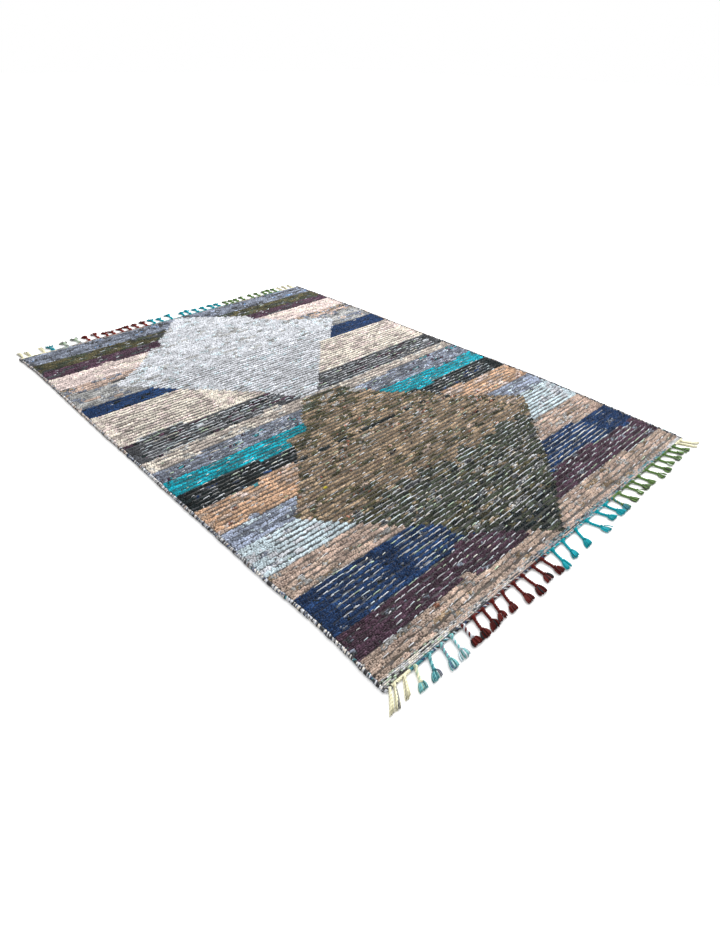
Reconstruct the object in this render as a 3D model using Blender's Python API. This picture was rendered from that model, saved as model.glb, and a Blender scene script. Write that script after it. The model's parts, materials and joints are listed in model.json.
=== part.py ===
"""A hand-knotted Moroccan rug lying flat: ribbed pile rows, overcast selvedges and a knotted fringe at both ends.

Metres, +Z up. +X runs across the rug and +Y from the front end to the back end. The origin is on the
floor, at the middle of the rug's bounding box. While it is modelled, a point is told by `across`, from the
left edge, and `along`, from the front edge.
"""

from typing import NamedTuple

import bmesh
import bpy
import numpy as np
from mathutils import Matrix

RUG_LENGTH = 2.658  # over the two end cords, without the tassels
GAP = 0.0003  # between pieces that touch

ROW_COUNT = 127  # rows of pile knots
ROW_CREST = (0.22, 0.78)  # where a row's crest starts and ends, in shares of its pitch
PLACES_PER_ROW = 1 + len(ROW_CREST)  # its valley, then the two sides of its crest
ROW_WANDER = 0.0010  # how far a row strays from its line
PILE_HEIGHT = 0.0130
PILE_UNEVEN = 0.0008  # the pile stands this much higher or lower in places
VALLEY_HEIGHT = 0.0075  # ground weave between two rows
HEADING_HEIGHT = 0.0050  # plain flat weave at both ends
FRONT_HEADING = 0.0210
BACK_HEADING = 0.0110
FIELD_COLUMNS = 7
SEED = 11

SELVEDGE_WIDTH = 0.0130
SELVEDGE_HEIGHT = 0.0110
SELVEDGE_LUMP = 0.0360  # length of one bunch of wraps
SELVEDGE_SWELL = 0.0016  # a bunch stands out this far past the pinch between two
SELVEDGE_CROWN = 0.55  # where its crown lies, in shares of its width from the field
SELVEDGE_SHOULDER = 0.8  # height where it meets the field, in shares of its crown's

END_CORD_WIDTH = 0.0090
END_CORD_HEIGHT = 0.0070
END_CORD_SWELL = 0.0008
END_CORD_SHOULDER = 0.85  # height where it meets the field, in shares of its crown's
TASSEL_ROOT = 0.0052  # half the width of a tassel where it leaves the end cord


class Station(NamedTuple):
    """One place along the rug: how far the two long edges stand out there, and how much the rows lean."""

    along: float
    left: float
    right: float
    row_lean: float  # how much further along a row is at its right end


OUTLINE = (
    Station(along=0.000, left=-0.0015, right=1.823, row_lean=0.016),
    Station(along=0.030, left=0.0005, right=1.826, row_lean=0.003),
    Station(along=0.120, left=0.006, right=1.833, row_lean=0.011),
    Station(along=0.300, left=0.012, right=1.844, row_lean=0.010),
    Station(along=0.520, left=0.006, right=1.857, row_lean=0.002),
    Station(along=0.800, left=0.0065, right=1.866, row_lean=0.004),
    Station(along=1.100, left=0.005, right=1.859, row_lean=0.006),
    Station(along=1.400, left=0.0065, right=1.854, row_lean=0.000),
    Station(along=1.700, left=0.004, right=1.848, row_lean=0.000),
    Station(along=2.000, left=0.006, right=1.850, row_lean=0.009),
    Station(along=2.300, left=0.0085, right=1.836, row_lean=0.012),
    Station(along=2.500, left=0.007, right=1.828, row_lean=0.006),
    Station(along=RUG_LENGTH, left=-0.003, right=1.819, row_lean=0.000),
)


class Bunch(NamedTuple):
    """Neighbouring tassels of one colour: where each is tied across the rug, and where its tip lies."""

    roots: tuple
    tips: tuple
    reaches: tuple  # from the end cord to the tip
    girth: float  # share of the width in TASSEL


FRONT_TASSELS = (
    Bunch(  # cream
        roots=(0.023, 0.041, 0.078),
        tips=(-0.028, -0.006, 0.035),
        reaches=(0.053, 0.054, 0.050),
        girth=0.62,
    ),
    Bunch(  # teal
        roots=(0.120, 0.175, 0.223, 0.268),
        tips=(0.083, 0.135, 0.195, 0.243),
        reaches=(0.061, 0.064, 0.074, 0.072),
        girth=0.95,
    ),
    Bunch(  # dark red
        roots=(0.320, 0.368, 0.410, 0.458, 0.510, 0.566, 0.613, 0.672, 0.722),
        tips=(0.305, 0.343, 0.385, 0.428, 0.483, 0.545, 0.603, 0.668, 0.720),
        reaches=(0.068, 0.070, 0.068, 0.063, 0.067, 0.079, 0.087, 0.070, 0.077),
        girth=1.0,
    ),
    Bunch(  # turquoise
        roots=(0.788, 0.853, 0.937, 1.004, 1.078, 1.137),
        tips=(0.758, 0.818, 0.898, 1.030, 1.100, 1.152),
        reaches=(0.082, 0.072, 0.072, 0.081, 0.062, 0.070),
        girth=1.0,
    ),
    Bunch(  # green
        roots=(1.195, 1.243, 1.303, 1.351, 1.403, 1.466, 1.523, 1.580, 1.630, 1.674, 1.720),
        tips=(1.187, 1.262, 1.321, 1.364, 1.415, 1.485, 1.540, 1.597, 1.655, 1.705, 1.742),
        reaches=(0.070, 0.068, 0.062, 0.062, 0.062, 0.071, 0.070, 0.056, 0.061, 0.050, 0.057),
        girth=0.95,
    ),
    Bunch(  # cream
        roots=(1.765, 1.790),
        tips=(1.803, 1.838),
        reaches=(0.068, 0.062),
        girth=0.72,
    ),
)
BACK_TASSELS = (
    Bunch(  # cream
        roots=(0.022, 0.062, 0.130),
        tips=(0.024, 0.058, 0.135),
        reaches=(0.085, 0.080, 0.085),
        girth=0.72,
    ),
    Bunch(  # teal and grey green
        roots=(0.178, 0.252, 0.322),
        tips=(0.176, 0.250, 0.318),
        reaches=(0.066, 0.072, 0.088),
        girth=1.15,
    ),
    Bunch(  # dark red
        roots=(0.372, 0.424, 0.474, 0.516, 0.566, 0.612, 0.658, 0.709),
        tips=(0.370, 0.430, 0.480, 0.516, 0.564, 0.610, 0.658, 0.713),
        reaches=(0.080, 0.088, 0.064, 0.060, 0.066, 0.074, 0.071, 0.077),
        girth=1.0,
    ),
    Bunch(  # turquoise
        roots=(0.762, 0.813, 0.872, 0.950, 0.998, 1.053, 1.105, 1.160, 1.205),
        tips=(0.765, 0.813, 0.882, 0.965, 1.005, 1.053, 1.108, 1.163, 1.207),
        reaches=(0.080, 0.066, 0.090, 0.065, 0.077, 0.068, 0.066, 0.068, 0.063),
        girth=1.0,
    ),
    Bunch(  # green
        roots=(1.264, 1.305, 1.344, 1.390, 1.458, 1.512, 1.560, 1.602, 1.644),
        tips=(1.274, 1.310, 1.347, 1.398, 1.462, 1.516, 1.570, 1.612, 1.652),
        reaches=(0.065, 0.060, 0.060, 0.071, 0.068, 0.068, 0.066, 0.072, 0.066),
        girth=0.95,
    ),
    Bunch(  # cream
        roots=(1.692, 1.735, 1.780),
        tips=(1.696, 1.740, 1.784),
        reaches=(0.072, 0.074, 0.070),
        girth=0.80,
    ),
)


class Section(NamedTuple):
    """One section of a tassel, a flat-bottomed trapezium that lies on the floor."""

    share: float  # of the way from the end cord to the tip
    half_width: float
    height: float


TASSEL = (
    Section(share=0.08, half_width=0.0072, height=0.0105),  # knot on the end cord
    Section(share=0.19, half_width=0.0054, height=0.0085),  # twisted stem
    Section(share=0.50, half_width=0.0050, height=0.0080),
    Section(share=0.58, half_width=0.0076, height=0.0115),  # knot of the tuft
    Section(share=0.84, half_width=0.0152, height=0.0120),  # flared tuft
    Section(share=1.00, half_width=0.0146, height=0.0070),
)
SECTION_TOP = 0.72  # width of a section's top, as a share of its bottom


def smooth(at, places, values):
    """A curve through a table's values, each slope taken from its neighbours (a cubic Hermite spline)."""
    places, values = np.array(places), np.array(values)
    slopes = np.gradient(values, places)
    k = np.clip(np.searchsorted(places, at) - 1, 0, len(places) - 2)
    step = places[k + 1] - places[k]
    t = (at - places[k]) / step
    start = (2 * t**3 - 3 * t**2 + 1) * values[k] + (t**3 - 2 * t**2 + t) * step * slopes[k]
    end = (3 * t**2 - 2 * t**3) * values[k + 1] + (t**3 - t**2) * step * slopes[k + 1]
    return start + end


def outline(along, column):
    """One column of OUTLINE, read at any place along the rug."""
    places = [station.along for station in OUTLINE]
    return smooth(along, places, [getattr(station, column) for station in OUTLINE])


def row_line(along, share):
    """The place along the rug of a row that starts from `along`, at a share of the way across."""
    return along + outline(along, "row_lean") * (share - 0.5)


def field_side(along, side):
    """Where the woven field ends on one side, inside the selvedge."""
    inward = SELVEDGE_WIDTH + GAP
    return outline(along, "left") + inward if side == "left" else outline(along, "right") - inward


def clear_scene():
    for obj in list(bpy.data.objects):
        bpy.data.objects.remove(obj)


def yarn(name, colour, roughness):
    material = bpy.data.materials.new(name)
    material.use_nodes = True
    shader = material.node_tree.nodes["Principled BSDF"]
    shader.inputs["Base Color"].default_value = (*colour, 1.0)
    shader.inputs["Roughness"].default_value = roughness
    shader.inputs["Metallic"].default_value = 0.0
    return material


def add_solid(name, points, faces, material):
    """A closed solid from its points and faces, with every face turned outwards."""
    mesh = bpy.data.meshes.new(name)
    mesh.from_pydata([tuple(p) for p in points], [], faces)
    shell = bmesh.new()
    shell.from_mesh(mesh)
    bmesh.ops.recalc_face_normals(shell, faces=shell.faces)
    shell.to_mesh(mesh)
    shell.free()
    mesh.materials.append(material)
    obj = bpy.data.objects.new(name, mesh)
    bpy.context.scene.collection.objects.link(obj)
    return obj


def field_profile():
    """Places along the field and the height there: heading, valley and crest of each row, heading."""
    start = END_CORD_WIDTH + GAP
    end = RUG_LENGTH - start
    first_row, last_row = start + FRONT_HEADING, end - BACK_HEADING
    pitch = (last_row - first_row) / ROW_COUNT
    profile = [(start, HEADING_HEIGHT)]
    for row in range(ROW_COUNT):
        valley = first_row + row * pitch
        profile.append((valley, VALLEY_HEIGHT if row else HEADING_HEIGHT))
        profile += [(valley + share * pitch, PILE_HEIGHT) for share in ROW_CREST]
    return np.array(profile + [(last_row, HEADING_HEIGHT), (end, HEADING_HEIGHT)])


def field_top():
    """The ribbed top as a grid of points: one line of columns across the rug for each place along it."""
    along, height = field_profile().T
    share = np.linspace(0, 1, FIELD_COLUMNS)
    left, right = field_side(along, "left"), field_side(along, "right")
    across = left[:, None] + (right - left)[:, None] * share
    lines = row_line(along[:, None], share)
    tops = np.repeat(height[:, None], FIELD_COLUMNS, axis=1)
    # Each row strays and stands unevenly as a whole. The headings, two places at either end, stay level.
    chance = np.random.default_rng(SEED)
    rows = (ROW_COUNT, FIELD_COLUMNS)
    for grid, most in ((lines, ROW_WANDER), (tops, PILE_UNEVEN)):
        grid[2:-2] += chance.uniform(-most, most, rows).repeat(PLACES_PER_ROW, axis=0)[1:]
    return np.stack([across, lines, tops], axis=2)


def build_field():
    """The woven field: a ribbed top, plain walls and one flat face underneath."""
    grid = field_top()
    count = len(grid)
    points = list(grid.reshape(-1, 3))

    def top(place, column):
        return place * FIELD_COLUMNS + column % FIELD_COLUMNS

    faces = [
        (top(s, c), top(s, c + 1), top(s + 1, c + 1), top(s + 1, c))
        for s in range(count - 1)
        for c in range(FIELD_COLUMNS - 1)
    ]
    # The walls meet the floor once in each row, and the underside is one face between those points.
    feet = [0, *range(1, count - 1, PLACES_PER_ROW), count - 1]
    foot = {}
    for place in feet:
        for column in (0, -1):
            x, y, _ = points[top(place, column)]
            foot[place, column] = len(points)
            points.append((x, y, 0.0))
    for column in (0, -1):
        for near, far in zip(feet, feet[1:]):
            wall = [top(s, column) for s in range(near, far + 1)]
            faces.append((*wall, foot[far, column], foot[near, column]))
    for place in (0, count - 1):
        wall = [top(place, c) for c in range(FIELD_COLUMNS)]
        faces.append((*wall, foot[place, -1], foot[place, 0]))
    faces.append([foot[s, 0] for s in feet] + [foot[s, -1] for s in reversed(feet)])
    return add_solid("rug_field", points, faces, yarn("Field wool", (0.36, 0.33, 0.32), 0.95))


def build_selvedge(side):
    """The overcast cord along one edge, in bunches of wraps that swell between pinches."""
    outward = -1.0 if side == "left" else 1.0
    count = 2 * round(RUG_LENGTH / SELVEDGE_LUMP) + 1
    share = 0.0 if side == "left" else 1.0
    points = []
    for k, along in enumerate(np.linspace(0.0, RUG_LENGTH, count)):
        swell = SELVEDGE_SWELL * (k % 2)
        inner = field_side(along, side) + outward * GAP
        outer = outline(along, side) + outward * (swell - SELVEDGE_SWELL / 2)
        crown = inner + SELVEDGE_CROWN * (outer - inner)
        line = row_line(along, share)
        crest = SELVEDGE_HEIGHT + swell - SELVEDGE_SWELL
        shoulder = SELVEDGE_SHOULDER * crest
        points += [(inner, line, 0.0), (inner, line, shoulder), (crown, line, crest), (outer, line, 0.0)]
    wool = yarn(f"Selvedge wool {side}", (0.10, 0.12, 0.16), 0.95)
    return add_solid(f"selvedge_{side}", points, tube_faces(count, 4), wool)


def tube_faces(sections, sides):
    """Faces of a tube whose points come section by section, with both ends closed."""
    faces = [tuple(range(sides)), tuple(range((sections - 1) * sides, sections * sides))]
    for s in range(sections - 1):
        for k in range(sides):
            a, b = s * sides + k, s * sides + (k + 1) % sides
            faces.append((a, b, b + sides, a + sides))
    return faces


def tassels_of(bunches):
    """(root, lean, reach, girth) of each tassel, where the lean is how far its tip lies past its root."""
    for bunch in bunches:
        for root, tip, reach in zip(bunch.roots, bunch.tips, bunch.reaches):
            yield root, tip - root, reach, bunch.girth


def build_fringe(end, bunches, colour):
    """An end cord with its tassels, fused at their roots. Each lies level on the floor."""
    edge, outward = (0.0, 1.0) if end == "front" else (RUG_LENGTH, -1.0)
    first = field_side(edge, "left")
    last = field_side(edge, "right")

    def place(across, inward, height):
        """A point told by its distance from the rug's outer edge, positive towards the field."""
        share = (across - first) / (last - first)
        woven = max(inward, 0.0)
        return (across, row_line(edge + outward * woven, share) + outward * (inward - woven), height)

    def station(k, across):
        """The four points of the end cord at one place across the rug. Its two ends follow the selvedges."""
        height = END_CORD_HEIGHT + END_CORD_SWELL * (-1) ** (k // 2)
        shoulder = END_CORD_SHOULDER * height
        for inward, up in ((END_CORD_WIDTH, 0.0), (END_CORD_WIDTH, shoulder), (0.0, height), (0.0, 0.0)):
            if isinstance(across, str):
                yield place(field_side(edge + outward * inward, across), inward, up)
            else:
                yield place(across, inward, up)

    tassels = list(tassels_of(bunches))
    roots = [root + step for root, *_ in tassels for step in (-TASSEL_ROOT, TASSEL_ROOT)]
    stations = ["left", *roots, "right"]
    points, faces = [], []
    for k, across in enumerate(stations):
        points += station(k, across)
    for k in range(len(stations) - 1):
        a, b = 4 * k, 4 * k + 4
        faces += [(a, a + 1, b + 1, b), (a + 1, a + 2, b + 2, b + 1), (a, a + 3, b + 3, b)]
        if k % 2 == 0:
            faces.append((a + 2, a + 3, b + 3, b + 2))
    faces += [(0, 1, 2, 3), tuple(range(len(points) - 4, len(points)))]

    for k, (root, lean, reach, girth) in enumerate(tassels):
        left, right = 4 * (2 * k + 1), 4 * (2 * k + 2)
        ring = [left + 3, right + 3, right + 2, left + 2]
        length = np.hypot(lean, reach)
        for section in TASSEL:
            half = section.half_width * girth
            ahead = section.share * reach
            centre = root + section.share * lean
            base = len(points)
            corners = ((-1, 0.0), (1, 0.0), (SECTION_TOP, section.height), (-SECTION_TOP, section.height))
            for side, height in corners:
                turn = side * half / length
                points.append(place(centre + turn * reach, -ahead + turn * lean, height))
            faces += [(ring[i], ring[(i + 1) % 4], base + (i + 1) % 4, base + i) for i in range(4)]
            ring = [base + i for i in range(4)]
        faces.append(tuple(ring))
    return add_solid(f"fringe_{end}", points, faces, yarn(f"Fringe yarn {end}", colour, 0.9))


def centre_on_floor(objects):
    """Moves the meshes together, so that the origin is at the middle of their box and on the floor."""
    corners = np.array([v.co[:] for obj in objects for v in obj.data.vertices])
    low, high = corners.min(axis=0), corners.max(axis=0)
    shift = (-(low[0] + high[0]) / 2, -(low[1] + high[1]) / 2, -low[2])
    for obj in objects:
        obj.data.transform(Matrix.Translation(shift))


def main():
    clear_scene()
    pieces = [
        build_field(),
        build_selvedge("left"),
        build_selvedge("right"),
        build_fringe("front", FRONT_TASSELS, (0.13, 0.22, 0.20)),
        build_fringe("back", BACK_TASSELS, (0.16, 0.20, 0.17)),
    ]
    centre_on_floor(pieces)


main()
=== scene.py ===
"""Looks of a hand-knotted rug: short wool pile in rows on a woven ground, overcast side edges, and a
twined cord with knotted tassels at each end. It is laid out as an add-on and is run as a script.

Two measures are used here. In the rug's own one, "across" is 0 at the left edge and "along" is 0 at
the front end. The other is the frame's, with its middle at the middle of the rug's box."""

import json
from collections import namedtuple

import bpy
import numpy as np
from bpy.props import FloatProperty, FloatVectorProperty, IntProperty, PointerProperty
from mathutils import Matrix, Vector

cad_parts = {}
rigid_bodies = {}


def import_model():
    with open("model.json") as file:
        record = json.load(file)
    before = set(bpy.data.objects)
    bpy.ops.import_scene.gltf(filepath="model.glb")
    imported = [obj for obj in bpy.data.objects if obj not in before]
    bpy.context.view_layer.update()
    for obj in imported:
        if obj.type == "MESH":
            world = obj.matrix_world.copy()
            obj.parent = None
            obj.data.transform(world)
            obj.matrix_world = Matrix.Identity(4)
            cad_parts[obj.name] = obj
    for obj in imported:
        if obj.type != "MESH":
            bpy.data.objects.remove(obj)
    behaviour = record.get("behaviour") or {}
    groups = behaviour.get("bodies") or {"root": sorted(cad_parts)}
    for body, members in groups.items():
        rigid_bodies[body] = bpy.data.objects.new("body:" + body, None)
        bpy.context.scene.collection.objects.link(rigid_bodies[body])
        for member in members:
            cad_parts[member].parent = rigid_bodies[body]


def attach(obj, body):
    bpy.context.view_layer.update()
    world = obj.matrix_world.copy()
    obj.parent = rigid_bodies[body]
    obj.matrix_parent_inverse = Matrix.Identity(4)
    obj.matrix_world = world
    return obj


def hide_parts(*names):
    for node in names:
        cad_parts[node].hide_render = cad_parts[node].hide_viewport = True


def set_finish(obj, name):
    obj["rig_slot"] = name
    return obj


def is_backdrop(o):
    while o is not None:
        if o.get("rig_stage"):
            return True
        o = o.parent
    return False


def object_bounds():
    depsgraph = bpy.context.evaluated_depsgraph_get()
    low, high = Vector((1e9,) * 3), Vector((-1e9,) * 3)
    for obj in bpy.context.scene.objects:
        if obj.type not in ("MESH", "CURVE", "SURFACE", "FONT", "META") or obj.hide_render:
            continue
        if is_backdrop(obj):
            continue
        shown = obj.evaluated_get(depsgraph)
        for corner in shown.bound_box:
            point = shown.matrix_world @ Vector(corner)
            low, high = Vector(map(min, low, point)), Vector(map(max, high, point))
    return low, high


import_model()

bl_info = {
    "name": "Knotted pile rug",
    "version": (1, 0, 0),
    "blender": (4, 5, 0),
    "location": "View3D > Sidebar > Rug",
    "description": "Weaves a pile rug with stripes, two lozenges and tassels on its packed solids",
    "category": "Object",
}

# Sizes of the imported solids, metres.

MIDDLE = (0.91615393, 1.32916774)  # the middle of the rug's box, across and along
RUG_LENGTH = 2.658  # from the outside of one end cord to the outside of the other
SELVEDGE_WIDTH = 0.0130
SELVEDGE_HEIGHT = 0.0110
GAP = 0.0003
CHART_WIDTH = 1.845  # the rug's width in the chart, where a band's end runs from left to right
FIELD_START, FIELD_END = 0.0093, 2.6487  # the woven field, between the end cords
PILE_START, PILE_END = 0.0303, 2.6377  # the part of it that has pile
ROW_COUNT = 127
ROW_PITCH = (PILE_END - PILE_START) / ROW_COUNT
END_CORD_WIDTH = 0.0090
TASSEL_ROOT = 0.0052  # how far inside the cord's outer side a tassel is tied on
END_POINTS = 5  # the points of one cut end of pile: four at its base and its tip
PILE_PIECES = 5
BRIGHTNESS = (0.21, 0.72, 0.07)  # how much red, green and blue add to how bright a colour looks

Station = namedtuple("Station", "along left right row_lean")
OUTLINE = (  # the two edges, and how far a row's right end lies ahead of its left end
    Station(0.000, -0.0015, 1.823, 0.016),
    Station(0.030, 0.0005, 1.826, 0.003),
    Station(0.120, 0.006, 1.833, 0.011),
    Station(0.300, 0.012, 1.844, 0.010),
    Station(0.520, 0.006, 1.857, 0.002),
    Station(0.800, 0.0065, 1.866, 0.004),
    Station(1.100, 0.005, 1.859, 0.006),
    Station(1.400, 0.0065, 1.854, 0.000),
    Station(1.700, 0.004, 1.848, 0.000),
    Station(2.000, 0.006, 1.850, 0.009),
    Station(2.300, 0.0085, 1.836, 0.012),
    Station(2.500, 0.007, 1.828, 0.006),
    Station(2.658, -0.003, 1.819, 0.000),
)

# The weaver's chart.

# Bands of pile from the front end: the row that each ends before, at the left edge and at the right,
# how wide the gaps between its rows stand open (0 is shut), how much of them shows weft, and the
# yarns in it with their shares.
Band = namedtuple("Band", "name left right open weft yarns")
BANDS = (
    Band("beige", 4, 5, 0.32, 0.34, dict(beige=6, rose_taupe=3, stone=0.9, umber=0.9)),
    Band("aubergine", 9, 11, 0.50, 0.66, dict(aubergine=9, charcoal=0.35, slate=0.35)),
    Band("navy", 18, 18, 0.72, 0.90, dict(navy=9, ink=0.15, slate=0.15)),
    Band("rose taupe", 24, 24, 0.44, 0.3, dict(rose_taupe=6, beige=3, stone=0.7, umber=0.3)),
    Band("ice", 32, 33, 0.74, 0.2, dict(ice=8, pearl=1.8, slate=0.3)),
    Band("lilac", 37, 38, 0.45, 0.2, dict(lilac=7, ice=0.8, slate=1.4)),
    Band("peach", 45, 45, 0.62, 0.15, dict(peach=7, beige=1.8, pink=0.8, rust=0.25)),
    Band("ink", 51, 51, 0.85, 0.62, dict(ink=9, charcoal=0.6, navy=0.4)),
    Band("turquoise", 56, 56, 0.60, 0.18, dict(turquoise=9, faded_teal=1.0)),
    Band("slate", 61, 62, 0.65, 0.4, dict(slate=7, lilac=1.6, aubergine=0.5, faded_teal=0.3)),
    Band("sand", 65, 65, 0.60, 0.1, dict(sand=6, cream=2, stone=1)),
    Band("charcoal", 72, 72, 0.90, 0.88, dict(charcoal=8, ink=1.2, aubergine=1.2)),
    Band("cream", 87, 87, 0.80, 0.0, dict(cream=6, pink=2.2, sand=1.4)),
    Band("far navy", 92, 93, 0.30, 0.04, dict(navy=9, ink=0.3)),
    Band("stone", 100, 100, 0.45, 0.1, dict(stone=7, slate=3.4, rose_taupe=0.8)),
    Band("far taupe", 104, 105, 0.55, 0.0, dict(rose_taupe=4, slate=2.4, stone=1.2, umber=1.4, charcoal=1.2)),
    Band("pink", 111, 112, 0.30, 0.0, dict(pink=8, cream=1.6)),
    Band("far aubergine", 116, 116, 0.35, 0.1, dict(aubergine=8, charcoal=1.6)),
    Band("olive", 121, 121, 0.40, 0.1, dict(olive=6, moss=3, charcoal=1.2)),
    Band("far slate", 127, 127, 0.40, 0.0, dict(slate=8, charcoal=2.8, lilac=0.8, faded_blue=0.3)),
)
# Where the weaver changed yarn early or late: the band, from and to across the rug, and the rows.
Step = namedtuple("Step", "band start end rows")
STEPS = (
    Step("beige", 0.51, 0.80, -1), Step("beige", 1.54, 1.90, -1),
    Step("aubergine", 0.55, 0.66, 1), Step("aubergine", 1.49, 1.90, -1),
    Step("navy", 1.58, 1.90, -1), Step("ink", 0.38, 0.56, -1), Step("ink", 1.30, 1.42, -1),
    Step("peach", 0.30, 0.47, 1), Step("peach", 1.36, 1.52, 1), Step("sand", 0.62, 0.70, 1),
    Step("slate", -0.1, 0.24, -1), Step("sand", -0.1, 0.12, -1), Step("stone", 1.45, 1.90, 1),
    Step("turquoise", 1.55, 1.72, -1), Step("charcoal", 0.10, 0.30, 1),
)
# Each lozenge by a few corners, from its front tip to its far one: row, left side, right side.
PALE_LOZENGE = (
    (64.5, 0.90, 0.90), (65.2, 0.83, 0.93), (73.5, 0.72, 1.08), (84, 0.51, 1.27), (87, 0.45, 1.32),
    (87.1, 0.45, 1.40), (98, 0.24, 1.61), (102, 0.35, 1.49), (105, 0.44, 1.38), (111.5, 0.56, 1.27),
    (112, 0.63, 1.24), (115.5, 0.65, 1.23), (127.5, 0.89, 0.90),
)
OLIVE_LOZENGE = (
    (0, 0.90, 0.90), (7.5, 0.73, 1.11), (11, 0.61, 1.19), (15, 0.61, 1.28), (18, 0.52, 1.34),
    (32.2, 0.26, 1.636), (38, 0.37, 1.49), (43.5, 0.46, 1.37), (49, 0.535, 1.31), (53.4, 0.545, 1.18),
    (53.5, 0.665, 1.18), (58, 0.71, 1.12), (64.3, 0.82, 1.03),
)
# Bands inside each lozenge: the row that each ends before, how many rows that end strays over, and the
# rest as in a band.
Inner = namedtuple("Inner", "limit open weft yarns ragged", defaults=(0,))
PALE_BANDS = (
    Inner(93, 0.78, 0.0, dict(pearl=9, ice=0.8, stone=0.3)),
    Inner(128, 0.15, 0.0, dict(pearl=9, ice=0.8, stone=1.2)),
)
OLIVE_BANDS = (
    Inner(8, 0.60, 0.45, dict(moss=5, ink=3.4, olive=1, charcoal=1.4), 3),
    Inner(26.6, 0.70, 0.75, dict(moss=6, ink=1.2, olive=2, umber=0.5, stone=0.4, charcoal=0.8), 6),
    Inner(31, 0.75, 0.32, dict(umber=6, olive=2, moss=0.8, rust=0.25, rose_taupe=0.4)),
    Inner(34, 0.75, 0.28, dict(umber=4, olive=3, beige=0.8)),
    Inner(36, 0.75, 0.22, dict(umber=7, soot=0.8, rust=0.3)),
    Inner(45, 0.75, 0.28, dict(umber=7, olive=1.6, moss=0.5, rust=0.3, beige=0.4, stone=0.2)),
    Inner(46, 0.65, 0.4, dict(ink=4, umber=2, olive=1)),
    Inner(58.6, 0.75, 0.22, dict(umber=5.4, olive=3.2, moss=0.8, rust=0.25, beige=0.3, stone=0.2)),
    Inner(65, 0.70, 0.25, dict(moss=3, olive=3, umber=1.5, stone=1.6)),
)
# Patches that are knotted closer than the rest of their band: from and to along, in rows, and across.
Patch = namedtuple("Patch", "first last start end")
CLOSE_PATCHES = (
    Patch(9, 18.5, 0.32, 0.42), Patch(9, 18.5, 1.62, 1.90), Patch(9, 18.5, -0.1, 0.10),
    Patch(4, 10.5, -0.1, 0.16), Patch(24, 33, -0.1, 0.12), Patch(72, 87, 0.5, 0.62),
)
# Single knots or short runs of another yarn: row, from, to, yarn.
FLECKS = (
    (35, 0.447, 0.466, "gold"), (44, 0.262, 0.284, "faded_teal"), (43, 1.335, 1.362, "ink"),
    (69, 0.33, 0.362, "pearl"), (68, 1.76, 1.80, "pearl"), (3, 0.315, 0.33, "rust"),
)
WEFT_YARNS = dict(pearl=7, ice=2.4, stone=2, pale_green=1, cream=0.7)
# The edge's wraps, by where each stretch ends along the rug.
SELVEDGE_STRETCHES = (
    (0.60, dict(soot=5, pearl=5, cream=3, navy=1.2, slate=1.2, ink=1.2, faded_teal=0.4)),
    (1.45, dict(soot=5, pearl=3.4, stone=3, navy=1, slate=1.4, ink=1.4, beige=1)),
    (2.10, dict(stone=3, beige=3, soot=3, rose_taupe=2, pearl=2, slate=1.4, ink=1)),
    (2.70, dict(charcoal=4, soot=3, stone=3, beige=1.6, slate=2, rose_taupe=1)),
)
# The flat heading's wefts, by where each stretch ends across the rug.
HEADING_STRETCHES = (
    (0.28, dict(cream=4, pearl=2, stone=2, pale_green=1, soot=1.6)),
    (0.70, dict(rose_taupe=4, stone=2, cream=1, pearl=1, charcoal=2.2)),
    (1.70, dict(rose_taupe=2.4, slate=2, faded_teal=2, charcoal=1.6, stone=1, soot=1.6)),
    (1.90, dict(pearl=4, stone=3)),
)

# The end cord's yarns, by where each stretch ends across the rug.
CORD_STRETCHES = {
    "front": (
        (0.03, dict(soot=4, pearl=3)), (0.10, dict(straw=4, soot=1.2, olive=1)),
        (0.30, dict(faded_teal=4, navy=1.4, ice=1.4, soot=1)),
        (0.76, dict(dark_red=4, soot=4, navy=1.6, stone=1, pearl=1)),
        (1.17, dict(bright_teal=4, faded_teal=2, pearl=1.4, soot=1.2)),
        (1.75, dict(leaf=4, moss=1.5, soot=1.8, pearl=1)), (1.90, dict(straw=4, stone=1.5)),
    ),
    "back": (
        (0.16, dict(straw=4, soot=1)), (0.35, dict(faded_teal=4, stone=2)),
        (0.74, dict(dark_red=5, charcoal=2)), (1.23, dict(bright_teal=4, faded_teal=3, soot=0.6)),
        (1.67, dict(leaf=4, moss=1, soot=1.5)), (1.90, dict(straw=4, stone=1)),
    ),
}

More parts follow.
